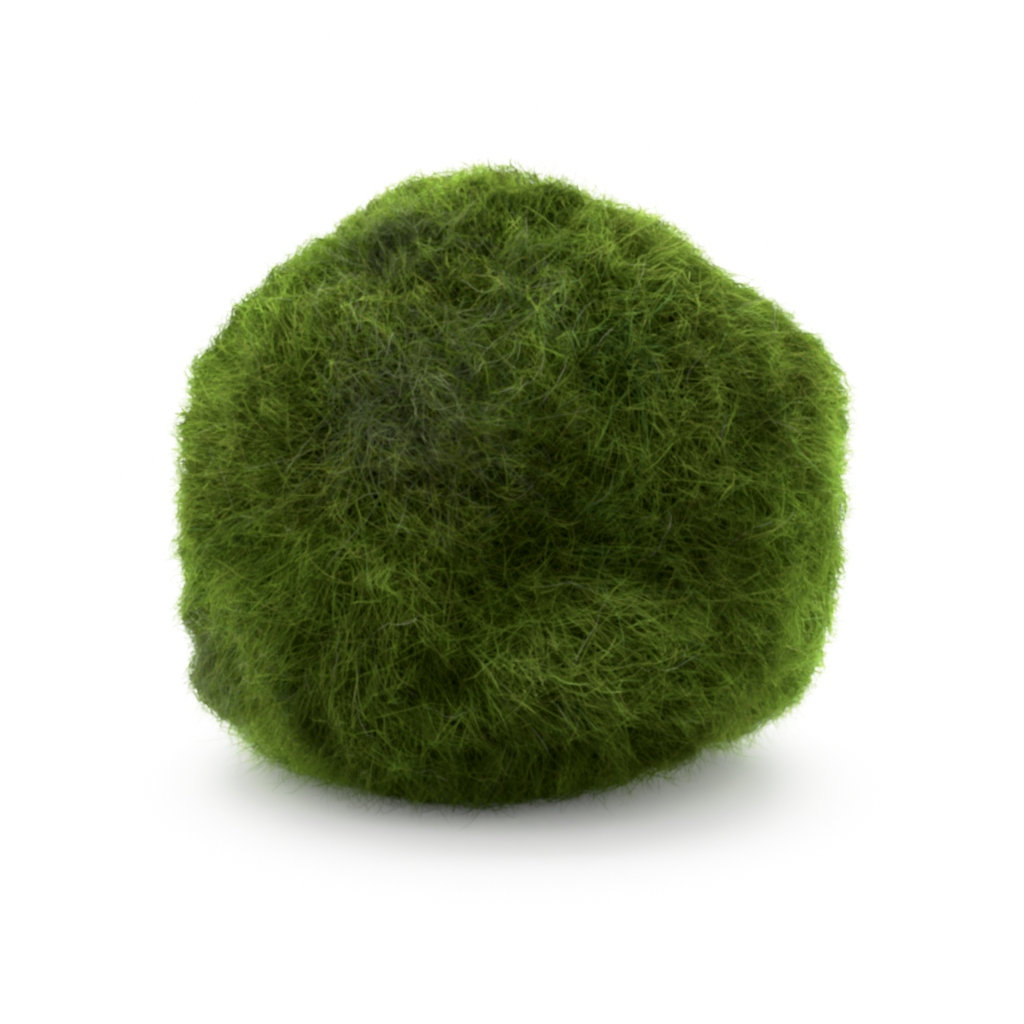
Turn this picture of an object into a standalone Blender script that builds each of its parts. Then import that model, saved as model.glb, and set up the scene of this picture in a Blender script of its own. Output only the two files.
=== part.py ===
"""A marimo moss ball: one felted ball of algae threads that grew as one piece and rests on a small flat.

Metres, +Z up. The origin is on the flat that the ball rests on, below the middle of the ball's width
and depth. The side of the ball that the photograph shows faces -Y, and its right-hand side is +X.

The solid's surface is where the tips of the threads end. It is built in three steps: a plump ball with
a sagging lower half, then the broad swells and hollows that squash it out of round, then the combed
locks of threads that lie on it like shingles.
"""

import math
from collections import namedtuple

import bmesh
import bpy
import numpy as np

# Driving dimensions of the ball, to the tips of its threads.
HALF_WIDTH = 0.0247
HALF_DEPTH = 0.0232
CENTRE_HEIGHT = 0.0205
CROWN_RISE = 0.0233
UNDERSIDE_DROP = 0.0218

# Roundness of the upper and lower half: 2 is an ellipse, more is boxier, as the wet ball sags.
UPPER_ROUNDNESS = 2.0
LOWER_ROUNDNESS = 2.7

# The mesh: evenly spread points on a sphere, which are then moved out to the ball's surface.
SURFACE_POINTS = 4400
GOLDEN_ANGLE = math.pi * (3.0 - math.sqrt(5.0))

# Locks of combed threads, each a low shingle that rises to a crest near its tip.
LOCK_COUNT = 330
LOCK_SCATTER = 0.035
LOCK_LENGTH = 0.0092
LOCK_WIDTH = 0.0050
LOCK_RISE = 0.0017
LOCK_CREST = 0.72
LOCK_SINK = 0.0009
LOCK_FADE_HEIGHT = 0.0035
LOCK_LENGTH_SHARES = (0.75, 1.25)
LOCK_RISE_SHARES = (0.6, 1.2)
LOCK_SEED = 11

# The swirls that the locks are combed in: the rate and the phase of a sine and of a cosine on each axis.
Wave = namedtuple("Wave", "sine_rate sine_phase cosine_rate cosine_phase")

SWIRL = (Wave(3.1, 0.7, 4.3, -1.1), Wave(3.7, 2.0, 3.3, 0.4), Wave(4.1, -0.5, 3.5, 1.9))

MOSS_GREEN = (0.050, 0.085, 0.012, 1.0)
MOSS_ROUGHNESS = 0.75
SHARP_EDGE_ANGLE = math.radians(80.0)

# Azimuth 0 faces -Y and 90 faces +X. Spread is the angle at which a swell has sunk to a third.
Swell = namedtuple("Swell", "name azimuth elevation spread height")

SWELLS = (
    Swell("right_bevel_low", 102, 45, 14, -0.0041),
    Swell("right_bevel_high", 126, 64, 15, -0.0016),
    Swell("right_shoulder", 94, 22, 13, 0.0012),
    Swell("left_bevel", -118, 42, 24, -0.0009),
    Swell("left_cheek_corner", -80, -36, 15, 0.0016),
    Swell("right_low_corner", 80, -34, 11, 0.0006),
    Swell("right_low_notch", 70, -52, 13, -0.0026),
    Swell("right_wall", 88, -12, 18, -0.0012),
    Swell("left_wall", -88, -12, 16, -0.0006),
    Swell("front_hollow", 6, 0, 17, -0.0026),
    Swell("hollow_right", 30, -2, 12, -0.0010),
    Swell("front_lip", 20, -21, 14, 0.0014),
    Swell("lip_left", -12, -22, 13, 0.0009),
    Swell("crease_left", -6, -34, 8, -0.0013),
    Swell("crease_middle", 10, -35, 8, -0.0014),
    Swell("crease_right", 26, -36, 8, -0.0011),
    Swell("right_low_pocket", 60, -31, 6, -0.0018),
    Swell("skirt_left_foot", -40, -56, 14, 0.0003),
    Swell("skirt_right_undercut", 30, -52, 18, -0.0014),
    Swell("front_brow", -10, 42, 24, 0.0006),
    Swell("crown", 10, 80, 22, 0.0004),
    Swell("left_front_flat", -48, 6, 22, -0.0008),
    Swell("back_shoulder", 165, 28, 24, 0.0010),
    Swell("back_hollow", -165, -4, 22, -0.0013),
    Swell("back_left_lobe", -130, -14, 20, 0.0009),
    Swell("back_right_flat", 140, -6, 20, -0.0010),
    Swell("back_crease", -172, -34, 10, -0.0012),
)


def clear_scene():
    for obj in list(bpy.data.objects):
        bpy.data.objects.remove(obj, do_unlink=True)


def direction_of(azimuth, elevation):
    """The unit vector at an azimuth and an elevation in degrees."""
    turn, rise = math.radians(azimuth), math.radians(elevation)
    return np.array(
        [
            math.sin(turn) * math.cos(rise),
            -math.cos(turn) * math.cos(rise),
            math.sin(rise),
        ]
    )


def spread_directions(count):
    """Evenly spread unit vectors, on a spiral that steps down the sphere by the golden angle."""
    step = np.arange(count) + 0.5
    height = 1.0 - 2.0 * step / count
    ring = np.sqrt(1.0 - height**2)
    turn = GOLDEN_ANGLE * step
    return np.stack([ring * np.cos(turn), ring * np.sin(turn), height], axis=1)


def plump_radius(unit):
    """Distance from the ball's centre to the plump form, before any swell, in each direction."""
    across = np.hypot(unit[:, 0] / HALF_WIDTH, unit[:, 1] / HALF_DEPTH)
    upper = unit[:, 2] > 0.0
    upright = np.abs(unit[:, 2]) / np.where(upper, CROWN_RISE, UNDERSIDE_DROP)
    power = np.where(upper, UPPER_ROUNDNESS, LOWER_ROUNDNESS)
    return (across**power + upright**power) ** (-1.0 / power)


def swell_height(unit):
    """The sum of the broad swells and hollows in each direction."""
    total = np.zeros(len(unit))
    for swell in SWELLS:
        toward = direction_of(swell.azimuth, swell.elevation)
        angle = np.degrees(np.arccos(np.clip(unit @ toward, -1.0, 1.0)))
        total += swell.height * np.exp(-((angle / swell.spread) ** 2))
    return total


def swirl_along(unit, axis):
    """One component of the swirl, from the two other coordinates of each direction."""
    wave = SWIRL[axis]
    first, second = unit[:, (axis + 1) % 3], unit[:, (axis + 2) % 3]
    return np.sin(wave.sine_rate * first + wave.sine_phase) + np.cos(
        wave.cosine_rate * second + wave.cosine_phase
    )


def combing(unit):
    """The way the threads are combed at each direction: smooth swirls that lie along the surface."""
    swirl = np.stack([swirl_along(unit, axis) for axis in range(3)], axis=1)
    along = np.cross(unit, swirl)
    return along / np.linalg.norm(along, axis=1, keepdims=True)


def lock_height(unit, radius):
    """The relief of the combed locks: the highest shingle at each direction, less the depth they sink by."""
    scatter = np.random.default_rng(LOCK_SEED)
    middles = spread_directions(LOCK_COUNT) + scatter.normal(0.0, LOCK_SCATTER, (LOCK_COUNT, 3))
    middles /= np.linalg.norm(middles, axis=1, keepdims=True)
    lengths = LOCK_LENGTH * scatter.uniform(*LOCK_LENGTH_SHARES, LOCK_COUNT)
    rises = LOCK_RISE * scatter.uniform(*LOCK_RISE_SHARES, LOCK_COUNT)
    highest = np.zeros(len(unit))
    for middle, heading, length, rise in zip(middles, combing(middles), lengths, rises):
        offset = (unit - middle) * radius[:, None]
        along = offset @ heading / length + 0.5
        aside = offset @ np.cross(middle, heading) / (0.5 * LOCK_WIDTH)
        near = (along > 0.0) & (along < 1.0) & (np.abs(aside) < 1.0) & (unit @ middle > 0.0)
        climb = np.where(along < LOCK_CREST, along / LOCK_CREST, (1.0 - along) / (1.0 - LOCK_CREST))
        shingle = rise * np.sin(0.5 * math.pi * np.clip(climb, 0.0, 1.0)) * (1.0 - aside**2)
        highest = np.maximum(highest, np.where(near, shingle, 0.0))
    return highest - LOCK_SINK


def surface_points():
    """The ball's surface points, with everything below the resting flat brought up onto it."""
    unit = spread_directions(SURFACE_POINTS)
    radius = plump_radius(unit) + swell_height(unit)
    height = CENTRE_HEIGHT + unit[:, 2] * radius
    relief_share = np.clip(height / LOCK_FADE_HEIGHT, 0.0, 1.0)
    radius += lock_height(unit, radius) * relief_share
    down = np.minimum(unit[:, 2], -1e-6)
    to_flat = np.where(unit[:, 2] < 0.0, CENTRE_HEIGHT / -down, np.inf)
    points = unit * np.minimum(radius, to_flat)[:, None]
    points[:, 2] += CENTRE_HEIGHT
    points[radius >= to_flat, 2] = 0.0
    return unit, points


def centred(points):
    """The points moved sideways so that the middle of their bounding box is on the Z axis."""
    middle = 0.5 * (points.min(axis=0) + points.max(axis=0))
    middle[2] = 0.0
    return points - middle


def moss_material():
    material = bpy.data.materials.new("moss")
    material.use_nodes = True
    shader = material.node_tree.nodes["Principled BSDF"]
    shader.inputs["Base Color"].default_value = MOSS_GREEN
    shader.inputs["Roughness"].default_value = MOSS_ROUGHNESS
    shader.inputs["Metallic"].default_value = 0.0
    return material


def flatten_underside(shape):
    """Joins the small coplanar faces on the resting flat into one face."""
    flat_faces = [f for f in shape.faces if all(v.co.z == 0.0 for v in f.verts)]
    bmesh.ops.dissolve_faces(shape, faces=flat_faces, use_verts=True)


def moss_ball():
    """The whole ball as one closed body."""
    unit, points = surface_points()
    points = centred(points)
    shape = bmesh.new()
    for corner in unit:
        shape.verts.new(corner)
    bmesh.ops.convex_hull(shape, input=shape.verts[:])
    for vert, point in zip(shape.verts, points):
        vert.co = point
    flatten_underside(shape)
    bmesh.ops.recalc_face_normals(shape, faces=shape.faces[:])
    mesh = bpy.data.meshes.new("moss_ball")
    shape.to_mesh(mesh)
    shape.free()
    mesh.materials.append(moss_material())
    mesh.shade_smooth()
    mesh.set_sharp_from_angle(angle=SHARP_EDGE_ANGLE)
    ball = bpy.data.objects.new("moss_ball", mesh)
    bpy.context.scene.collection.objects.link(ball)
    return ball


def main():
    clear_scene()
    moss_ball()


main()
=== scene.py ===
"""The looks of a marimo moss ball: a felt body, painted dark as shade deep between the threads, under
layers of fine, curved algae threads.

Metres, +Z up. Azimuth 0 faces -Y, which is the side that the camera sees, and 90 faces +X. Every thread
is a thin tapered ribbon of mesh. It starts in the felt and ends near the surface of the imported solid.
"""

import math
from collections import namedtuple

import bmesh
import bpy
import numpy as np
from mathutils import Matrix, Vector
from mathutils.bvhtree import BVHTree


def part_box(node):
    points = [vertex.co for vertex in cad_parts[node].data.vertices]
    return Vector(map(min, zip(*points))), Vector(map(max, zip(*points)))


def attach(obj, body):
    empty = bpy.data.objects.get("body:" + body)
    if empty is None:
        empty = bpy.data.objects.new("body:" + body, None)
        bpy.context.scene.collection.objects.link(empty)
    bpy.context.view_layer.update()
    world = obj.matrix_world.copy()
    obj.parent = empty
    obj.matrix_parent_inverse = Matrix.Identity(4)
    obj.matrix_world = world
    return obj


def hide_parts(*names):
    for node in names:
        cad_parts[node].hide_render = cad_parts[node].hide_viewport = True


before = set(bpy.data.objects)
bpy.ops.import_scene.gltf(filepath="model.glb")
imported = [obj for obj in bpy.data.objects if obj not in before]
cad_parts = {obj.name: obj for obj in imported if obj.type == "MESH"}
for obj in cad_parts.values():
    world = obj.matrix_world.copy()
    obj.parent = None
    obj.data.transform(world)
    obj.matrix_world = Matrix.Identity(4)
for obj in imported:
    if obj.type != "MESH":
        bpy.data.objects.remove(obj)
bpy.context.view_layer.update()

NODE = "moss_ball"

# The map of the threads: each knot's place on the colour ramp across, and root to tip upward. A map with
# this name is kept when the model is exported.
MAP_NAME = "OFBake"

# The camera, from the size of the ball in the photograph, which is 1024 pixels across. The point that it
# aims at, at this height over the origin, shows this many pixels above the middle of the picture.
IMAGE_WIDTH = 1024.0
PIXELS_PER_METRE = 13570.0
SENSOR_WIDTH_MM = 36.0
CAMERA_DISTANCE = 0.32
CAMERA_ELEVATION = math.radians(13.0)
AIM_HEIGHT = 0.0213
AIM_RISE_PIXELS = 32.0

# The felt under the threads: how far it lies under the solid's surface and how unevenly, how matte and
# how finely grained it is, and its darkest and lightest colour with their places in the grain. Both colours
# are far darker than the threads' own: painted shade deep between the threads.
FELT_DEPTH = 0.0023
FELT_UNEVENNESS = 0.00025
FELT_SEED = 3
FELT_ROUGHNESS = 0.9
FELT_GLOSS = 0.15
FELT_GRAIN = 900.0
FELT_GRAIN_DETAIL = 4.0
FELT_SHADE_COLOURS = ((0.35, (0.003, 0.006, 0.0006)), (0.65, (0.012, 0.022, 0.002)))

# Points nearer to each other than the first are one point, and ones lower than the second are on the floor.
WELD_DISTANCE = 1e-6
ON_FLOOR_HEIGHT = 1e-5

# The map of the solid's radius in each direction, which the threads follow.
MAP_ROWS = 181
MAP_COLUMNS = 360
MAP_BLUR_STEPS = 3

# Smooth noise is a sum of this many waves. It reaches 1 at this many times its usual size.
NOISE_WAVES = 9
NOISE_REACH = 2.0

# The puffy relief of the felt, as rounded clumps with creases between them, and the height over which it
# fades out towards the floor. Threads are painted darker where their crease is deeper than the mean one,
# as painted shade in the creases, and lighter elsewhere.
Relief = namedtuple("Relief", "depth scale seed")

RELIEFS = (Relief(0.0007, 14.0, 61), Relief(0.0007, 34.0, 62))
RELIEF_FADE = 0.0040
RELIEF_SHADE = 0.04
CREASE_STEEPNESS = 2.0
MEAN_CREASE = 0.36

# The swirls that the threads are combed in: the rate and the phase of a sine and of a cosine on each axis.
Wave = namedtuple("Wave", "sine_rate sine_phase cosine_rate cosine_phase")

SWIRL = (Wave(3.1, 0.7, 4.3, -1.1), Wave(3.7, 2.0, 3.3, 0.4), Wave(4.1, -0.5, 3.5, 1.9))

# Places where the threads lie one way. Heading is in degrees: 0 is to the right and 90 is up.
Comb = namedtuple("Comb", "name azimuth elevation spread heading strength")

COMBS = (
    Comb("right_shoulder_down", 42, 30, 24, -62, 2.8),
    Comb("right_wall_down", 66, 2, 22, -80, 2.0),
    Comb("lip_across", 20, -20, 20, 10, 4.0),
    Comb("lip_across_left", -14, -22, 16, 20, 2.2),
    Comb("skirt_down", 4, -42, 15, -84, 2.2),
    Comb("left_wall_down", -66, -6, 24, -96, 0.8),
    Comb("crown_over", -4, 62, 22, -50, 1.0),
    Comb("left_brow_across", -40, 44, 16, 28, 1.6),
)

# Tufts of threads that share a heading, a bend, a tone and a reach, and that mix a little where they
# meet. The last is how many threads are matched to their tufts at a time.
TUFT_COUNT = 2600
TUFT_TURN = 0.45
TUFT_REACHES = (0.75, 1.25)
TUFT_BORDER = 0.012
TUFT_SEED = 5
SEARCH_BATCH = 4000

# A layer's lengths and offsets are in metres. Sink is how far under the solid's surface the root lies,
# and stand is how far above it the tip ends. Turn, bend and kink are in radians, and kink is how much a
# thread's heading strays at each of its knots. Loose is the share of threads that lie any way, clump is
# how far the tips of a tuft are drawn together, and light is the middle of the layer's tones. Deep layers
# are darker and outer ones lighter, which is painted shade in the depth of the felt and painted light of
# the ball's glowing rim.
Layer = namedtuple("Layer", "name count steps length sink stand width turn bend loose clump light kink")

LAYERS = (
    Layer("undercoat", 11000, 3, 0.0026, 0.0022, -0.00060, 0.000280, 0.8, 0.8, 0.30, 0.20, 0.11, 0.30),
    Layer("midcoat_one", 17000, 5, 0.0044, 0.0018, -0.00005, 0.000130, 0.8, 0.9, 0.30, 0.55, 0.21, 0.16),
    Layer("midcoat_two", 17000, 6, 0.0054, 0.0013, 0.00030, 0.000115, 0.7, 0.9, 0.25, 0.60, 0.30, 0.14),
    Layer("topcoat_one", 17000, 6, 0.0062, 0.0008, 0.00050, 0.000100, 0.7, 1.0, 0.22, 0.65, 0.41, 0.12),
    Layer("topcoat_two", 9000, 8, 0.0080, 0.0004, 0.00065, 0.000090, 0.8, 1.3, 0.35, 0.45, 0.55, 0.10),
    Layer("fuzz", 31000, 3, 0.0020, 0.0010, 0.00125, 0.000042, 1.2, 1.3, 0.45, 0.40, 0.63, 0.45),
    Layer("strays", 5000, 5, 0.0040, 0.0012, 0.00180, 0.000046, 1.6, 1.5, 1.00, 0.00, 0.66, 0.25),
    Layer("pale_hairs", 340, 8, 0.0040, 0.0003, 0.00095, 0.000056, 1.2, 1.5, 1.00, 0.00, 0.74, 0.18),
)

# The first layer's seed. Each next layer has the next number.
FIRST_LAYER_SEED = 101

# How much of its layer's turn a thread takes on, and how much of its layer's bend as its tuft's bend, as
# its own bend and as its twist.
TURN_SHARE = 0.6
TUFT_BEND_SHARE = 0.6
OWN_BEND_SHARE = 0.8
TWIST_SHARE = 1.2

# Shortest and longest thread as shares of the usual length in its tuft.
LENGTH_SHARES = (0.6, 1.4)

# How unevenly the tips stand. Each stands higher still by a share of its layer's stand, times a number
# drawn by chance, which is at most the last one here.
STAND_SPREAD = 0.00030
LONG_STAND_SHARE = 0.7
LONGEST_REACH = 1.2

# How a thread rises from its root to its tip: the larger its lift, the sooner it comes up from the felt,
# and the larger the stand power, the later it leaves the surface.
LIFTS = (0.35, 0.8)
LIFT_POWER = 2.0
STAND_POWER = 1.5

# Lowest point of any thread: the ball's own weight presses them onto the floor. Below the second
# height the tips stand less and less proud.
PRESSED_HEIGHT = 0.00008
PRESSED_FADE = 0.0016

# A ribbon is rolled about its path by up to this many radians, and is narrower towards its tip by this
# share. The guards keep the length of a path's step and of its side above zero.
MOST_ROLL = 1.25
TIP_TAPER = 0.55
STEP_GUARD = 1e-12
SIDE_GUARD = 1e-9

# Places where the tufts are drawn together and differ more, so that the shade between them shows, and
# where the lower layers and the creases are painted darker as painted shade.
Ruffle = namedtuple("Ruffle", "name azimuth elevation spread strength")

RUFFLES = (
    Ruffle("lip", 16, -22, 22, 1.5),
    Ruffle("lip_left", -18, -26, 16, 0.7),
    Ruffle("middle", 0, 2, 16, 0.5),
    Ruffle("right_shoulder", 46, 36, 18, 0.5),
)

# What a ruffle of strength 1 does: how far it moves a layer's tone away from the middle one, which paints
# the lower layers darker as painted shade and the upper ones lighter, how much more threads differ in tone,
# how much longer and more clumped they are, and how much less they stray.
# The last is the most that threads are clumped.
RUFFLE_SHADE_DEPTH = 0.55
RUFFLE_MIDDLE = 0.52
RUFFLE_TONE = 0.4
RUFFLE_LENGTH = 0.16
RUFFLE_CLUMP = 0.50
RUFFLE_CALM = 0.70
MOST_CLUMPED = 0.92

# The colour families of the threads. Red and blue are shares of green, and liking is how common they are.
Family = namedtuple("Family", "name red blue liking")

FAMILIES = (
    Family("olive", 0.71, 0.122, 0.55),
    Family("grass", 0.60, 0.088, 0.75),
    Family("brown", 0.86, 0.165, 0.00),
    Family("deep", 0.51, 0.180, -0.30),
    Family("grey", 0.82, 0.420, -1.50),
    Family("pale", 0.92, 0.560, -2.00),
)

# Clouds of lighter and darker threads, and clouds in which a family is more and less common. Each family
# has its own, from the seed on. Chance decides between families that are about as common.
Cloud = namedtuple("Cloud", "depth scale seed")

CLOUDS = (Cloud(0.03, 5.0, 31), Cloud(0.04, 20.0, 32), Cloud(0.05, 45.0, 33))
FAMILY_CLOUDS = (Cloud(0.5, 6.0, 41), Cloud(0.5, 22.0, 51))
FAMILY_CHANCE = 0.35

# The layer that is mostly of one family, and how much more common that family is in it. Its pale hairs
# are whitish threads, and in part painted glints of wet highlights.
PALE_LAYER = "pale_hairs"
PALE_FAMILY = "pale"
PALE_LIKING = 4.0

# How green a thread is from its family's darkest to its lightest, and how much paler it is there.
Level = namedtuple("Level", "share green paleness")

LEVELS = (
    Level(0.00, 0.035, 0.00),
    Level(0.25, 0.115, 0.00),
    Level(0.50, 0.250, 0.01),
    Level(0.75, 0.450, 0.03),
    Level(1.00, 0.720, 0.10),
)

# How much of its paleness a thread's red, green and blue take on.
PALENESS_OF_CHANNELS = (0.6, 0.0, 1.0)

# How much single threads and tufts differ in tone, and the darkest and lightest that they can be.
TONE_SPREAD = 0.055
TUFT_TONE_SPREAD = 0.035
TONE_LIMITS = (0.03, 0.97)

# The share of a family's stretch of the colour ramp that is left free at either end.
RAMP_MARGIN = 0.02

# The threads are matted in the places on the ball that are of this family: by this share they are drawn
# to one tone.
MATTED_FAMILY = "grey"
MATTING = 0.75
MATTED_LIGHT = 0.27

# Places on the ball that differ in colour, and places of painted light and painted shade, as marked
# below. Light is added to a thread's place in its family.
Patch = namedtuple("Patch", "name azimuth elevation spread light family liking")

COLOUR_AND_PAINTED_LIGHT_PATCHES = (
    # Painted shade in the front hollow and around it, and its brims painted lighter.
    Patch("hollow", 6, 2, 15, -0.23, "deep", 0.5),
    Patch("hollow_high", 8, 10, 13, -0.18, "brown", 0.5),
    Patch("hollow_low", -2, -6, 8, -0.24, "olive", 0.4),
    Patch("hollow_left_brim", -18, -6, 7, 0.10, "olive", 0.0),
    Patch("hollow_right_brim", 22, -9, 7, 0.07, "olive", 0.0),
    Patch("hollow_left", -16, 9, 11, -0.09, "brown", 0.6),
    Patch("hollow_right", 29, -1, 12, -0.21, "olive", 0.6),
    # Painted shade on the front.
    Patch("middle_shade", -6, 24, 8, -0.06, "olive", 0.2),
    Patch("middle_left_shade", -18, 22, 6, -0.05, "brown", 0.2),
    Patch("left_middle_shade", -38, 7, 12, -0.17, "brown", 0.3),
    Patch("brow_right", 25, 26, 11, -0.14, "olive", 0.2),
    Patch("dark_spot", 47, 18, 8, -0.36, "olive", 0.5),
    # Painted shade on the right.
    Patch("right_top_shade", 72, 25, 11, -0.05, "brown", 0.8),
    Patch("right_middle_shade", 40, -8, 9, -0.14, "brown", 0.4),
    Patch("upper_left_matted", -48, 55, 9, 0.10, "grey", 7.2),
    Patch("upper_left_light", -60, 44, 9, 0.11, "grass", 0.6),
    Patch("upper_left_shade", -23, 50, 12, -0.19, "brown", 0.6),
    Patch("left_matted", -27, 24, 9, -0.02, "grey", 5.6),
    Patch("left_brow_light", -28, 37, 9, 0.13, "olive", 0.0),
    Patch("middle_matted", -13, 34, 7, 0.17, "grey", 3.4),
    Patch("low_matted", -8, 17, 6, 0.07, "grey", 4.3),
    Patch("crown_matted", 2, 53, 7, 0.34, "grey", 4.4),
    Patch("crown_left_light", -66, 70, 9, 0.17, "grass", 0.5),
    Patch("upper_right_light", 39, 50, 11, 0.10, "olive", 0.6),
    Patch("bluish_right", 15, -1, 6, 0.08, "deep", 3.2),
    Patch("bluish_high", 23, 36, 7, -0.11, "deep", 2.8),
    # The lip painted lighter where it stands out into the light, its brown threads, and painted shade
    # beside and under it.
    Patch("lip", 4, -20, 13, 0.06, "olive", 0.6),
    Patch("lip_brown", 27, -20, 12, -0.04, "brown", 0.9),
    Patch("lip_left_shade", -16, -20, 9, -0.18, "brown", 0.3),
    Patch("lip_gap", -11, -22, 5, -0.17, "olive", 0.2),
    Patch("lip_far_left_shade", -35, -21, 10, -0.17, "olive", 0.2),
    # Painted light of the glowing rim on the left.
    Patch("left_cheek", -78, 20, 13, 0.05, "grass", 1.2),
    Patch("left_upper_shade", -54, 20, 9, -0.10, "olive", 0.4),
    Patch("left_brown", -77, 7, 6, -0.21, "brown", 1.2),
    Patch("left_lower_shade", -58, -4, 9, -0.13, "olive", 0.4),
    # Painted light of the glowing rim.
    Patch("left_wall_light", -74, -14, 13, 0.11, "grass", 0.3),
    Patch("right_side_shade", 52, 1, 30, -0.09, "olive", 0.0),
    # Painted light of the glowing rim along the ball's outline.
    Patch("right_edge", 80, 2, 14, 0.33, "grass", 0.5),
    Patch("right_low_rim", 70, -33, 10, 0.20, "grass", 0.5),
    Patch("right_foot", 72, -46, 11, 0.15, "grass", 0.5),
    Patch("left_rim", -96, -2, 20, 0.21, "grass", 0.6),
    Patch("right_low_cheek", 67, -21, 13, 0.24, "grass", 0.6),
    Patch("top_right_edge", 94, 52, 15, 0.30, "grass", 0.4),
    Patch("crown", 4, 71, 10, -0.18, "grass", 1.0),
    Patch("brow_middle", 14, 50, 9, -0.08, "olive", 0.2),
    # Painted light of the glowing rim at the outline.
    Patch("crown_right_edge", 84, 76, 11, 0.08, "olive", 0.6),
    Patch("left_foot", -64, -40, 12, 0.30, "olive", 0.4),
    # Painted shade in the crease under the lip, on the skirt, underneath and in the pocket.
    Patch("crease", 13, -34, 11, -0.15, "olive", 0.4),
    Patch("crease_left", -4, -36, 7, -0.08, "olive", 0.4),
    Patch("skirt", -12, -44, 17, -0.20, "brown", 0.5),
    Patch("skirt_left", -42, -37, 11, -0.23, "brown", 0.5),
    Patch("skirt_right", 32, -38, 13, -0.30, "olive", 0.3),
    Patch("underside", -4, -62, 22, -0.17, "deep", 0.5),
    Patch("pocket", 51, -27, 5, -0.44, "olive", 0.3),
    Patch("left_low_matted", -68, -28, 10, 0.27, "grey", 4.2),
    # Painted shade in the hollow at the back.
    Patch("back_hollow", 172, -4, 20, -0.14, "deep", 0.7),
    Patch("back_matted", 140, 32, 11, -0.01, "grey", 4.6),
    Patch("back_low_matted", -138, -12, 8, 0.02, "grey", 3.4),
    Patch("back_cheek", -150, 30, 18, 0.07, "grass", 0.8),
    # Painted shade on the skirt at the back.
    Patch("back_skirt", 180, -44, 30, -0.14, "brown", 0.3),
    Patch("side_shade", 108, -14, 12, -0.08, "brown", 0.6),
)

# The shader of the threads: their tint from root to tip, which is painted shade darkening them towards
# the root and painted light brightening their tips, how matte they are, and how much light they let
# through.
ROOT_SHADE_TO_TIP_LIGHT = (
    (0.00, (0.40, 0.40, 0.36)),
    (0.55, (0.85, 0.86, 0.84)),
    (1.00, (1.08, 1.08, 1.05)),
)
THREAD_ROUGHNESS = 0.55
THREAD_GLOSS = 0.04
THREAD_TRANSLUCENCY = 0.75

FLOOR_HALF_WIDTH = 4.0
FLOOR_SEGMENTS = 8
FLOOR_WHITE = 0.86
FLOOR_ROUGHNESS = 0.8
FLOOR_GLOSS = 0.1

# Soft boxes around the ball: azimuth and elevation in degrees, distance and size in metres, watts.
SoftBox = namedtuple("SoftBox", "name azimuth elevation distance size power")

SOFT_BOXES = (SoftBox("top", 180, 66, 0.90, 0.90, 16.0),)

# The white tent around the ball: its roof, its brighter walls near the floor, and its dim opening on the
# side that the ball's front faces. Walls end at a height given as a sine of the elevation, and the
# opening's edges are cosines of the angle from its middle.
ROOF_LIGHT = 1.5
WALL_LIGHT = 3.85
WALL_FOOT = 0.10
WALL_TOP = 0.70
OPENING_LIGHT = 0.55
OPENING_ELEVATION = 5.0
OPENING_OUTER = 0.30
OPENING_INNER = 0.85

# How many pixels wide each point of light spreads, as in a slightly soft lens, the light that the film
# still shows as black, and its response to light: it is even at first, and then levels off gently into
# white.
LENS_SPREAD_PIXELS = 2.9
FILM_BLACK = 0.0020
FILM_RESPONSE = ((0.0, 0.0), (0.36, 0.37), (0.66, 0.68), (1.08, 0.89), (1.52, 0.98), (1.95, 1.0))


# Directions and noise


def unit_vectors(vectors):
    return vectors / np.linalg.norm(vectors, axis=-1, keepdims=True)


def direction_of(azimuth, elevation):
    """The unit vector at an azimuth and an elevation in radians. Both may be arrays."""
    level = np.cos(elevation)
    return np.stack(
        [np.sin(azimuth) * level, -np.cos(azimuth) * level, np.sin(elevation)], axis=-1
    )


def angles_of(unit):
    """The azimuth and the elevation of each unit vector, in radians."""
    azimuth = np.arctan2(unit[..., 0], -unit[..., 1])
    return azimuth, np.arcsin(np.clip(unit[..., 2], -1.0, 1.0))


def angle_to(unit, place):
    """The angle in degrees from each unit vector to a named place on the ball."""
    toward = direction_of(math.radians(place.azimuth), math.radians(place.elevation))
    return np.degrees(np.arccos(np.clip(unit @ toward, -1.0, 1.0)))


def nearness(unit, place):
    """How near each unit vector is to a named place: 1 there, and a third at its spread."""
    return np.exp(-((angle_to(unit, place) / place.spread) ** 2))


def ruffle_at(unit):
    """How ruffled the felt is at each direction: 0 is none."""
    return sum(place.strength * nearness(unit, place) for place in RUFFLES)


def patch_noise(unit, scale, seed):
    """Smooth noise over the sphere, from about -1 to 1."""
    rng = np.random.default_rng(seed)
    total = np.zeros(unit.shape[:-1])
    for _ in range(NOISE_WAVES):
        wave = rng.normal(0.0, scale, 3)
        total += np.sin(unit @ wave + rng.uniform(0.0, 2.0 * math.pi))
    return total / math.sqrt(NOISE_WAVES / 2.0) / NOISE_REACH


def creases(unit, relief):
    """How deep in a crease each direction lies: 0 on a clump and 1 at the bottom of a crease."""
    noise = np.abs(patch_noise(unit, relief.scale, relief.seed))
    return 1.0 - np.minimum(CREASE_STEEPNESS * noise, 1.0)


# The solid's surface


def solid_mesh(node):
    """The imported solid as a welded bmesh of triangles."""
    shape = bmesh.new()
    shape.from_mesh(node.data)
    bmesh.ops.remove_doubles(shape, verts=shape.verts[:], dist=WELD_DISTANCE)
    bmesh.ops.triangulate(shape, faces=shape.faces[:])
    return shape


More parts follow.
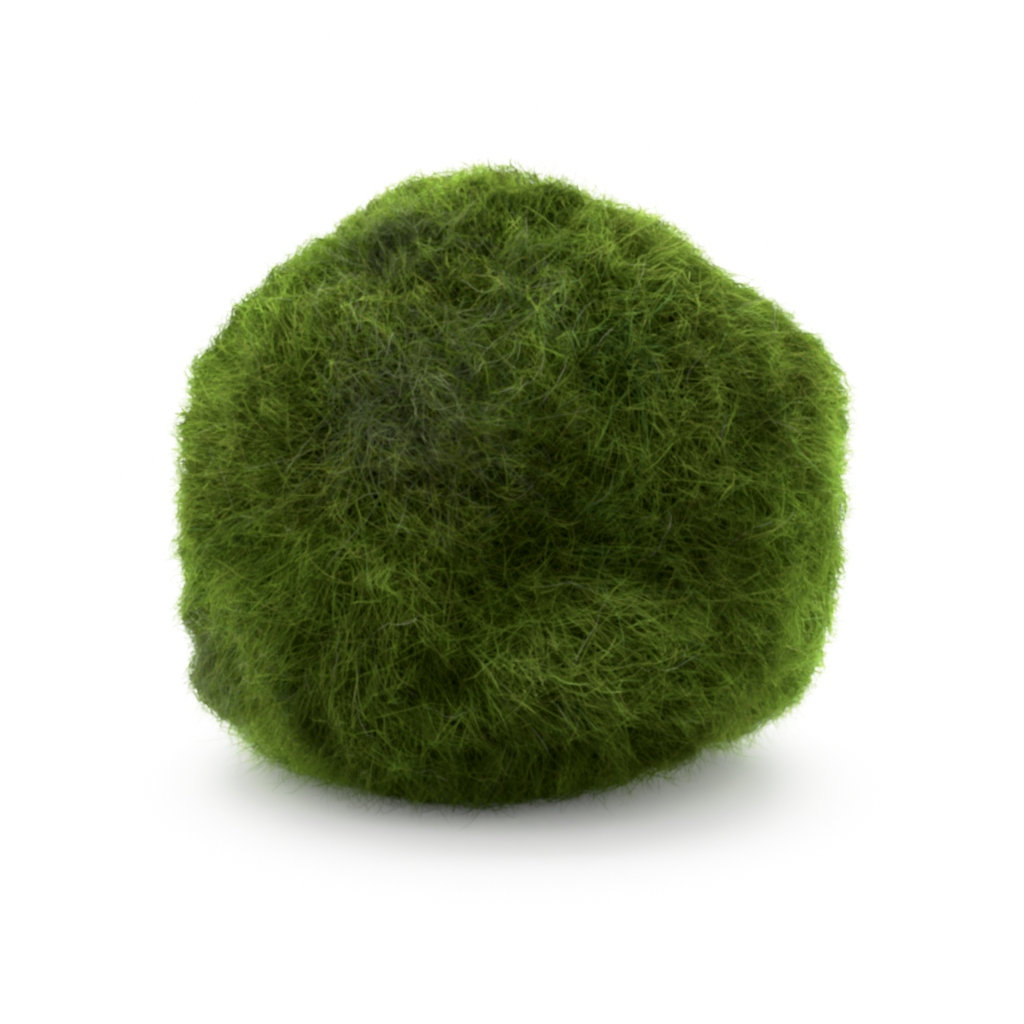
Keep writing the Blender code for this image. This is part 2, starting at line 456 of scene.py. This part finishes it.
class RadiusMap:
    """The distance from the ball's centre to the solid's surface, by direction."""

    def __init__(self, shape, centre):
        tree = BVHTree.FromBMesh(shape)
        azimuths = np.linspace(-math.pi, math.pi, MAP_COLUMNS, endpoint=False)
        elevations = np.linspace(-math.pi / 2, math.pi / 2, MAP_ROWS)
        radius = np.empty((MAP_ROWS, MAP_COLUMNS))
        for row, elevation in enumerate(elevations):
            rays = direction_of(azimuths, np.full(MAP_COLUMNS, elevation))
            for column, ray in enumerate(rays):
                _, _, _, radius[row, column] = tree.ray_cast(centre, Vector(ray))
        radius = self.blurred(radius)
        unit = direction_of(*np.meshgrid(azimuths, elevations))
        height = centre[2] + unit[..., 2] * radius
        depth = sum(relief.depth * creases(unit, relief) for relief in RELIEFS)
        self.radius = radius - depth * np.clip(height / RELIEF_FADE, 0.0, 1.0)

    @staticmethod
    def blurred(radius):
        """The map with its sharpest relief softened, so that threads don't kink on it."""
        for _ in range(MAP_BLUR_STEPS):
            sides = 0.25 * (np.roll(radius, 1, axis=1) + np.roll(radius, -1, axis=1))
            radius = 0.5 * radius + sides
            padded = np.pad(radius, ((1, 1), (0, 0)), mode="edge")
            radius = 0.5 * radius + 0.25 * (padded[:-2] + padded[2:])
        return radius

    def at(self, unit):
        """The radius at each unit vector, read between the four nearest entries."""
        azimuth, elevation = angles_of(unit)
        column = (azimuth + math.pi) / (2.0 * math.pi) * MAP_COLUMNS
        row = (elevation + math.pi / 2) / math.pi * (MAP_ROWS - 1)
        low_row = np.clip(np.floor(row).astype(int), 0, MAP_ROWS - 2)
        low_column = np.floor(column).astype(int)
        down, across = row - low_row, column - low_column
        left, right = low_column % MAP_COLUMNS, (low_column + 1) % MAP_COLUMNS
        lower = self.radius[low_row, left] * (1 - across) + self.radius[low_row, right] * across
        upper = self.radius[low_row + 1, left] * (1 - across) + self.radius[low_row + 1, right] * across
        return lower * (1 - down) + upper * down


def scattered_directions(shape, centre, count, rng):
    """Directions from the centre to points spread evenly over the solid's surface."""
    corners = np.array([[v.co[:] for v in face.verts] for face in shape.faces])
    areas = np.linalg.norm(
        np.cross(corners[:, 1] - corners[:, 0], corners[:, 2] - corners[:, 0]), axis=1
    )
    chosen = corners[rng.choice(len(corners), count, p=areas / areas.sum())]
    first, second = np.sqrt(rng.random(count))[:, None], rng.random(count)[:, None]
    points = (
        chosen[:, 0] * (1 - first)
        + chosen[:, 1] * first * (1 - second)
        + chosen[:, 2] * first * second
    )
    return unit_vectors(points - np.array(centre))


# Headings and tufts


def swirl_along(unit, axis):
    """One component of the swirl, from the two other coordinates of each direction."""
    wave = SWIRL[axis]
    first, second = unit[:, (axis + 1) % 3], unit[:, (axis + 2) % 3]
    return np.sin(wave.sine_rate * first + wave.sine_phase) + np.cos(
        wave.cosine_rate * second + wave.cosine_phase
    )


def combing(unit):
    """The way the threads are combed at each direction: smooth swirls that lie along the surface."""
    swirl = np.stack([swirl_along(unit, axis) for axis in range(3)], axis=1)
    along = unit_vectors(np.cross(unit, swirl))
    azimuth, elevation = angles_of(unit)
    right = direction_of(azimuth + math.pi / 2, np.zeros(len(unit)))
    up = direction_of(azimuth, elevation + math.pi / 2)
    for comb in COMBS:
        share = comb.strength * nearness(unit, comb)
        heading = math.radians(comb.heading)
        along = along + share[:, None] * (math.cos(heading) * right + math.sin(heading) * up)
    return unit_vectors(along)


def turned(along, unit, angle):
    """Headings turned in the surface by an angle, anticlockwise as seen from outside."""
    aside = np.cross(unit, along)
    return np.cos(angle)[:, None] * along + np.sin(angle)[:, None] * aside


def laid_flat(along, unit):
    """Headings without the part of them that points out of the surface."""
    return unit_vectors(along - unit * np.sum(along * unit, axis=1, keepdims=True))


def stepped(unit, along, curl, stride):
    """One step along the surface: the new directions and the headings there."""
    along = turned(along, unit, curl)
    unit = unit_vectors(unit + along * stride[:, None])
    return unit, laid_flat(along, unit)


Tufts = namedtuple("Tufts", "middles along bend tone reach")


def make_tufts(shape, centre):
    rng = np.random.default_rng(TUFT_SEED)
    middles = scattered_directions(shape, centre, TUFT_COUNT, rng)
    turn = rng.normal(0.0, TUFT_TURN, TUFT_COUNT)
    return Tufts(
        middles,
        turned(combing(middles), middles, turn),
        rng.normal(0.0, 1.0, TUFT_COUNT),
        rng.normal(0.0, 1.0, TUFT_COUNT),
        rng.uniform(*TUFT_REACHES, TUFT_COUNT),
    )


def nearest_tufts(unit, tufts, rng):
    """The tuft of each thread. Threads near a border are shared out at random."""
    blurred = unit_vectors(unit + rng.normal(0.0, TUFT_BORDER, unit.shape))
    nearest = np.empty(len(unit), dtype=int)
    for start in range(0, len(unit), SEARCH_BATCH):
        part = slice(start, start + SEARCH_BATCH)
        nearest[part] = np.argmax(blurred[part] @ tufts.middles.T, axis=1)
    return nearest


def tuft_axes(layer, surface, tufts):
    """The directions along the middle line of each tuft, step by step."""
    unit, along = tufts.middles, tufts.along
    curl = TUFT_BEND_SHARE * layer.bend * tufts.bend / layer.steps
    axes = [unit]
    for _ in range(layer.steps):
        stride = layer.length * tufts.reach / layer.steps / surface.at(unit)
        unit, along = stepped(unit, along, curl, stride)
        axes.append(unit)
    return axes


# Threads

Traits = namedtuple("Traits", "tuft turn bend twist length stand lift clump")


def thread_traits(layer, unit, tufts, rng):
    """The tuft of the thread at each direction, and how it turns, bends, reaches, stands and clumps."""
    tuft = nearest_tufts(unit, tufts, rng)
    ruffle = ruffle_at(unit)
    calm = 1.0 / (1.0 + RUFFLE_CALM * ruffle)
    astray = rng.random(layer.count) < layer.loose * calm
    turn = calm * rng.normal(0.0, layer.turn * TURN_SHARE, layer.count)
    turn = np.where(astray, rng.uniform(-math.pi, math.pi, layer.count), turn)
    own_bend = OWN_BEND_SHARE * rng.normal(0.0, 1.0, layer.count)
    bend = calm * layer.bend * (TUFT_BEND_SHARE * tufts.bend[tuft] + own_bend)
    twist = calm * layer.bend * rng.normal(0.0, TWIST_SHARE, layer.count)
    length = layer.length * tufts.reach[tuft] * rng.uniform(*LENGTH_SHARES, layer.count)
    length = length * (1.0 + RUFFLE_LENGTH * ruffle)
    stand = layer.stand + STAND_SPREAD * rng.normal(0.0, 1.0, layer.count)
    reach = np.minimum(rng.exponential(1.0, layer.count), LONGEST_REACH)
    stand += LONG_STAND_SHARE * abs(layer.stand) * reach
    lift = rng.uniform(*LIFTS, layer.count)
    clump = layer.clump * (1.0 + RUFFLE_CLUMP * ruffle)
    clump = np.where(astray, 0.0, np.minimum(clump, MOST_CLUMPED))
    return Traits(tuft, turn, bend, twist, length, stand, lift, clump)


def rise_over_surface(layer, traits, share, height):
    """How far above the solid's surface each thread is at a share of its length."""
    pressed = np.clip(height / PRESSED_FADE, 0.0, 1.0)
    proud = np.where(traits.stand > 0.0, traits.stand * pressed, traits.stand)
    sunk = layer.sink * (1.0 - share) ** (1.0 + LIFT_POWER * traits.lift)
    return proud * share**STAND_POWER - sunk


def thread_paths(layer, surface, centre, shape, tufts, rng):
    """The points along each thread, its outward directions and its tuft."""
    unit = scattered_directions(shape, centre, layer.count, rng)
    traits = thread_traits(layer, unit, tufts, rng)
    axes = tuft_axes(layer, surface, tufts)
    along = turned(laid_flat(tufts.along[traits.tuft], unit), unit, traits.turn)
    middle = np.array(centre)
    points = np.empty((layer.count, layer.steps + 1, 3))
    outward = np.empty_like(points)
    for step in range(layer.steps + 1):
        share = step / layer.steps
        gather = (traits.clump * share)[:, None]
        gathered = unit_vectors(unit * (1.0 - gather) + axes[step][traits.tuft] * gather)
        radius = surface.at(gathered)
        rise = rise_over_surface(layer, traits, share, middle[2] + gathered[:, 2] * radius)
        points[:, step] = middle + gathered * (radius + rise)[:, None]
        outward[:, step] = gathered
        curl = (traits.bend + traits.twist * math.cos(math.pi * share)) / layer.steps
        curl = curl + layer.kink * rng.normal(0.0, 1.0, layer.count)
        unit, along = stepped(unit, along, curl, traits.length / layer.steps / radius)
    points[:, :, 2] = np.maximum(points[:, :, 2], PRESSED_HEIGHT)
    return points, outward, traits.tuft


def ribbon_sides(points, outward, width, rng):
    """Half the width of each ribbon across its path, rolled at random about it."""
    along = unit_vectors(np.gradient(points, axis=1) + STEP_GUARD)
    flat = unit_vectors(np.cross(along, outward) + SIDE_GUARD)
    edge = np.cross(along, flat)
    roll = rng.uniform(-MOST_ROLL, MOST_ROLL, len(points))[:, None, None]
    return 0.5 * width * (np.cos(roll) * flat + np.sin(roll) * edge)


def thread_light(layer, outward, tuft_tone, rng):
    """How light each thread is at each of its knots, within its family, with painted shade and painted
    light from its layer, the ruffles, the creases and the places on the ball.
    """
    ruffle = ruffle_at(outward)
    spread = TONE_SPREAD * (1.0 + RUFFLE_TONE * ruffle)
    light = layer.light + spread * rng.normal(0.0, 1.0, (layer.count, 1))
    light = light + TUFT_TONE_SPREAD * (1.0 + ruffle) * tuft_tone[:, None]
    # Painted shade on the lower layers, and lighter upper ones, where the felt is ruffled.
    light = light + RUFFLE_SHADE_DEPTH * ruffle * (layer.light - RUFFLE_MIDDLE)
    for cloud in CLOUDS:
        light = light + cloud.depth * patch_noise(outward, cloud.scale, cloud.seed)
    for relief in RELIEFS:
        # Painted shade in the creases of the relief.
        light = light - RELIEF_SHADE * (1.0 + ruffle) * (creases(outward, relief) - MEAN_CREASE)
    for patch in COLOUR_AND_PAINTED_LIGHT_PATCHES:
        near = nearness(outward, patch)
        light = light + patch.light * near
        if patch.family == MATTED_FAMILY:
            light = light + MATTING * near * (MATTED_LIGHT - light)
    return np.clip(light, *TONE_LIMITS)


def thread_families(layer, root, rng):
    """The row of each thread's colour family, from where its root lies and by chance."""
    rows = {family.name: row for row, family in enumerate(FAMILIES)}
    liking = np.empty((len(FAMILIES), layer.count))
    for row, family in enumerate(FAMILIES):
        liking[row] = family.liking
        for cloud in FAMILY_CLOUDS:
            liking[row] += cloud.depth * patch_noise(root, cloud.scale, cloud.seed + row)
    if layer.name == PALE_LAYER:
        liking[rows[PALE_FAMILY]] += PALE_LIKING
    for patch in COLOUR_AND_PAINTED_LIGHT_PATCHES:
        liking[rows[patch.family]] += patch.liking * nearness(root, patch)
    liking += FAMILY_CHANCE * rng.gumbel(0.0, 1.0, liking.shape)
    return np.argmax(liking, axis=0)


def thread_tones(layer, outward, tuft_tone, rng):
    """Where each knot's colour lies along the colour ramp, which holds the families one after another."""
    light = thread_light(layer, outward, tuft_tone, rng)
    family = thread_families(layer, outward[:, 0], rng)
    return (family[:, None] + light) / len(FAMILIES)


# Meshes


def ribbon_corners(points, sides):
    """The corners of tapered ribbons: a left and a right one at each knot, and one at the pointed tip."""
    count, knots = points.shape[:2]
    taper = (1.0 - TIP_TAPER * np.linspace(0.0, 1.0, knots))[None, :, None]
    left, right = points - sides * taper, points + sides * taper
    corners = np.empty((count, 2 * knots - 1, 3))
    corners[:, 0:-1:2] = left[:, :-1]
    corners[:, 1:-1:2] = right[:, :-1]
    corners[:, -1] = points[:, -1]
    return corners


def ribbon_loops(knots):
    """The corners of one ribbon's faces in order: the quads along it, then the triangle at its tip."""
    quads = np.array([[2 * k, 2 * k + 1, 2 * k + 3, 2 * k + 2] for k in range(knots - 2)])
    tip = np.array([2 * knots - 4, 2 * knots - 3, 2 * knots - 2])
    return np.concatenate([quads.ravel(), tip])


def ribbon_map(tone, loops):
    """The map of each ribbon's faces: tone across, and root to tip upward."""
    count, knots = tone.shape
    knot_of = np.minimum(loops // 2, knots - 1)
    uv = np.empty((count, len(loops), 2), dtype=np.float32)
    uv[:, :, 0] = tone[:, knot_of]
    uv[:, :, 1] = np.linspace(0.0, 1.0, knots)[knot_of][None, :]
    return uv


def ribbon_mesh(name, points, sides, tone):
    """A mesh of tapered ribbons with a pointed tip."""
    count, knots = points.shape[:2]
    corners = ribbon_corners(points, sides)
    loops = ribbon_loops(knots)
    shift = (np.arange(count) * corners.shape[1])[:, None]
    loop_verts = (loops[None, :] + shift).ravel()
    sizes = np.tile(np.array([4] * (knots - 2) + [3]), count)
    starts = np.concatenate([[0], np.cumsum(sizes)[:-1]])

    mesh = bpy.data.meshes.new(name)
    mesh.vertices.add(corners.shape[0] * corners.shape[1])
    mesh.vertices.foreach_set("co", corners.astype(np.float32).ravel())
    mesh.loops.add(len(loop_verts))
    mesh.loops.foreach_set("vertex_index", loop_verts.astype(np.int32))
    mesh.polygons.add(len(sizes))
    mesh.polygons.foreach_set("loop_start", starts.astype(np.int32))
    uv_layer = mesh.uv_layers.new(name=MAP_NAME)
    uv_layer.data.foreach_set("uv", ribbon_map(tone, loops).ravel())
    mesh.update(calc_edges=True)
    mesh.shade_smooth()
    return mesh


def add_piece(name, mesh, material):
    piece = bpy.data.objects.new(name, mesh)
    bpy.context.scene.collection.objects.link(piece)
    mesh.materials.append(material)
    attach(piece, "root")
    return piece


def felt_points(points, surface, centre):
    """The surface's points moved in to the felt, which is finely rough, and flat on the floor."""
    middle = np.array(centre)
    unit = unit_vectors(points - middle)
    rng = np.random.default_rng(FELT_SEED)
    rough = FELT_UNEVENNESS * rng.normal(0.0, 1.0, len(unit))
    moved = middle + unit * (surface.at(unit) - FELT_DEPTH + rough)[:, None]
    moved[:, 2] = np.maximum(moved[:, 2], 0.0)
    moved[points[:, 2] < ON_FLOOR_HEIGHT, 2] = 0.0
    return moved


def add_felt_body(shape, surface, centre):
    """The dense felt under the threads: the solid's form, a little smaller."""
    felt = shape.copy()
    bmesh.ops.subdivide_edges(felt, edges=felt.edges[:], cuts=1, use_grid_fill=True)
    points = np.array([v.co[:] for v in felt.verts])
    for vert, point in zip(felt.verts, felt_points(points, surface, centre)):
        vert.co = point
    bmesh.ops.triangulate(felt, faces=felt.faces[:])
    mesh = bpy.data.meshes.new("felt_body")
    felt.to_mesh(mesh)
    felt.free()
    mesh.shade_smooth()
    piece = add_piece("felt_body", mesh, felt_material())
    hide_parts(NODE)


def add_thread_layers(shape, surface, centre):
    tufts = make_tufts(shape, centre)
    material = thread_material()
    for row, layer in enumerate(LAYERS):
        rng = np.random.default_rng(FIRST_LAYER_SEED + row)
        points, outward, tuft = thread_paths(layer, surface, centre, shape, tufts, rng)
        sides = ribbon_sides(points, outward, layer.width, rng)
        tone = thread_tones(layer, outward, tufts.tone[tuft], rng)
        add_piece(layer.name, ribbon_mesh(layer.name, points, sides, tone), material)


# Materials


def set_ramp(ramp, stops):
    """Gives a colour ramp these stops, each a position and a linear colour."""
    elements = ramp.color_ramp.elements
    while len(elements) > 1:
        elements.remove(elements[-1])
    elements[0].position = stops[0][0]
    elements[0].color = (*stops[0][1], 1.0)
    for position, colour in stops[1:]:
        elements.new(position).color = (*colour, 1.0)


def tone_stops():
    """The tone ramp's stops: each family's levels along its own stretch of the ramp."""
    stops = []
    for row, family in enumerate(FAMILIES):
        for level in LEVELS:
            place = row + RAMP_MARGIN + (1.0 - 2.0 * RAMP_MARGIN) * level.share
            tint = np.array([family.red, 1.0, family.blue])
            tint += level.paleness * (1.0 - tint) * np.array(PALENESS_OF_CHANNELS)
            stops.append((place / len(FAMILIES), tuple(level.green * tint)))
    return stops


def multiply_node(nodes):
    """A node that multiplies two colours."""
    node = nodes.new("ShaderNodeMix")
    node.data_type = "RGBA"
    node.blend_type = "MULTIPLY"
    node.inputs["Factor"].default_value = 1.0
    return node


def thread_material():
    """Matte threads that let light through, coloured by the ribbons' own map, with painted shade towards
    the root and painted light at the tip.
    """
    material = bpy.data.materials.new("moss_threads")
    material.use_nodes = True
    nodes, links = material.node_tree.nodes, material.node_tree.links
    nodes.clear()
    place = nodes.new("ShaderNodeUVMap")
    place.uv_map = MAP_NAME
    parts = nodes.new("ShaderNodeSeparateXYZ")
    tones = nodes.new("ShaderNodeValToRGB")
    root_shade_tip_light = nodes.new("ShaderNodeValToRGB")
    set_ramp(tones, tone_stops())
    set_ramp(root_shade_tip_light, ROOT_SHADE_TO_TIP_LIGHT)
    shaded = multiply_node(nodes)
    surface = nodes.new("ShaderNodeBsdfPrincipled")
    surface.inputs["Roughness"].default_value = THREAD_ROUGHNESS
    surface.inputs["Specular IOR Level"].default_value = THREAD_GLOSS
    through = nodes.new("ShaderNodeBsdfTranslucent")
    blend = nodes.new("ShaderNodeMixShader")
    blend.inputs["Fac"].default_value = THREAD_TRANSLUCENCY
    output = nodes.new("ShaderNodeOutputMaterial")
    links.new(place.outputs["UV"], parts.inputs["Vector"])
    links.new(parts.outputs["X"], tones.inputs["Fac"])
    links.new(parts.outputs["Y"], root_shade_tip_light.inputs["Fac"])
    links.new(tones.outputs["Color"], shaded.inputs["A"])
    links.new(root_shade_tip_light.outputs["Color"], shaded.inputs["B"])
    links.new(shaded.outputs["Result"], surface.inputs["Base Color"])
    links.new(shaded.outputs["Result"], through.inputs["Color"])
    links.new(surface.outputs["BSDF"], blend.inputs[1])
    links.new(through.outputs["BSDF"], blend.inputs[2])
    links.new(blend.outputs["Shader"], output.inputs["Surface"])
    return material


def felt_material():
    """Matte felt with a fine grain, painted dark as shade deep between the threads."""
    material = bpy.data.materials.new("moss_felt")
    material.use_nodes = True
    nodes, links = material.node_tree.nodes, material.node_tree.links
    surface = nodes["Principled BSDF"]
    surface.inputs["Roughness"].default_value = FELT_ROUGHNESS
    surface.inputs["Specular IOR Level"].default_value = FELT_GLOSS
    place = nodes.new("ShaderNodeTexCoord")
    noise = nodes.new("ShaderNodeTexNoise")
    noise.inputs["Scale"].default_value = FELT_GRAIN
    noise.inputs["Detail"].default_value = FELT_GRAIN_DETAIL
    colours = nodes.new("ShaderNodeValToRGB")
    set_ramp(colours, FELT_SHADE_COLOURS)
    links.new(place.outputs["Object"], noise.inputs["Vector"])
    links.new(noise.outputs["Fac"], colours.inputs["Fac"])
    links.new(colours.outputs["Color"], surface.inputs["Base Color"])
    return material


# Floor, lights and camera


def add_floor():
    shape = bmesh.new()
    bmesh.ops.create_grid(
        shape, x_segments=FLOOR_SEGMENTS, y_segments=FLOOR_SEGMENTS, size=FLOOR_HALF_WIDTH
    )
    mesh = bpy.data.meshes.new("floor")
    shape.to_mesh(mesh)
    shape.free()
    floor = bpy.data.objects.new("floor", mesh)
    bpy.context.scene.collection.objects.link(floor)
    material = bpy.data.materials.new("white_floor")
    material.use_nodes = True
    surface = material.node_tree.nodes["Principled BSDF"]
    surface.inputs["Base Color"].default_value = (FLOOR_WHITE, FLOOR_WHITE, FLOOR_WHITE, 1.0)
    surface.inputs["Roughness"].default_value = FLOOR_ROUGHNESS
    surface.inputs["Specular IOR Level"].default_value = FLOOR_GLOSS
    mesh.materials.append(material)


def add_soft_boxes():
    aim = Vector((0.0, 0.0, AIM_HEIGHT))
    for box in SOFT_BOXES:
        light = bpy.data.lights.new(box.name, "AREA")
        light.shape = "SQUARE"
        light.size = box.size
        light.energy = box.power
        lamp = bpy.data.objects.new(box.name, light)
        toward = Vector(direction_of(math.radians(box.azimuth), math.radians(box.elevation)))
        lamp.location = aim + box.distance * toward
        lamp.rotation_euler = toward.to_track_quat("Z", "Y").to_euler()
        bpy.context.scene.collection.objects.link(lamp)


def fade_node(nodes, low, high, low_value, high_value):
    """A smooth step from one value to another as the input goes from low to high."""
    fade = nodes.new("ShaderNodeMapRange")
    fade.interpolation_type = "SMOOTHSTEP"
    fade.inputs["From Min"].default_value = low
    fade.inputs["From Max"].default_value = high
    fade.inputs["To Min"].default_value = low_value
    fade.inputs["To Max"].default_value = high_value
    return fade


def add_world():
    """The tent's light from each direction: walls, roof and the dim opening."""
    world = bpy.data.worlds.new("studio")
    world.use_nodes = True
    nodes, links = world.node_tree.nodes, world.node_tree.links
    background = nodes["Background"]
    background.inputs["Color"].default_value = (1.0, 1.0, 1.0, 1.0)
    direction = nodes.new("ShaderNodeTexCoord")
    parts = nodes.new("ShaderNodeSeparateXYZ")
    walls = fade_node(nodes, WALL_FOOT, WALL_TOP, WALL_LIGHT, ROOF_LIGHT)
    toward = nodes.new("ShaderNodeVectorMath")
    toward.operation = "DOT_PRODUCT"
    toward.inputs[1].default_value = direction_of(0.0, math.radians(OPENING_ELEVATION))
    opening = fade_node(nodes, OPENING_OUTER, OPENING_INNER, 1.0, OPENING_LIGHT)
    strength = nodes.new("ShaderNodeMath")
    strength.operation = "MULTIPLY"
    links.new(direction.outputs["Generated"], parts.inputs["Vector"])
    links.new(parts.outputs["Z"], walls.inputs["Value"])
    links.new(direction.outputs["Generated"], toward.inputs[0])
    links.new(toward.outputs["Value"], opening.inputs["Value"])
    links.new(walls.outputs["Result"], strength.inputs[0])
    links.new(opening.outputs["Result"], strength.inputs[1])
    links.new(strength.outputs["Value"], background.inputs["Strength"])
    bpy.context.scene.world = world


def set_film_response():
    bpy.context.scene.cycles.filter_width = LENS_SPREAD_PIXELS
    view = bpy.context.scene.view_settings
    view.view_transform = "Standard"
    view.use_curve_mapping = True
    mapping = view.curve_mapping
    white, _ = FILM_RESPONSE[-1]
    mapping.black_level = [FILM_BLACK] * 3
    mapping.white_level = [white] * 3
    brightness = mapping.curves[3]
    for light, shown in FILM_RESPONSE[1:-1]:
        brightness.points.new(light / white, shown)
    mapping.update()


def add_camera():
    data = bpy.data.cameras.new("camera")
    data.sensor_width = SENSOR_WIDTH_MM
    data.lens = PIXELS_PER_METRE * CAMERA_DISTANCE * SENSOR_WIDTH_MM / IMAGE_WIDTH
    data.shift_y = -AIM_RISE_PIXELS / IMAGE_WIDTH
    camera = bpy.data.objects.new("camera", data)
    toward = Vector(direction_of(0.0, CAMERA_ELEVATION))
    camera.location = Vector((0.0, 0.0, AIM_HEIGHT)) + CAMERA_DISTANCE * toward
    camera.rotation_euler = toward.to_track_quat("Z", "Y").to_euler()
    bpy.context.scene.collection.objects.link(camera)
    bpy.context.scene.camera = camera


def main():
    low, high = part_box(NODE)
    centre = Vector((0.0, 0.0, 0.5 * (low[2] + high[2])))
    shape = solid_mesh(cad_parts[NODE])
    surface = RadiusMap(shape, centre)
    add_felt_body(shape, surface, centre)
    add_thread_layers(shape, surface, centre)
    shape.free()
    add_floor()
    add_soft_boxes()
    add_world()
    add_camera()
    set_film_response()


main()
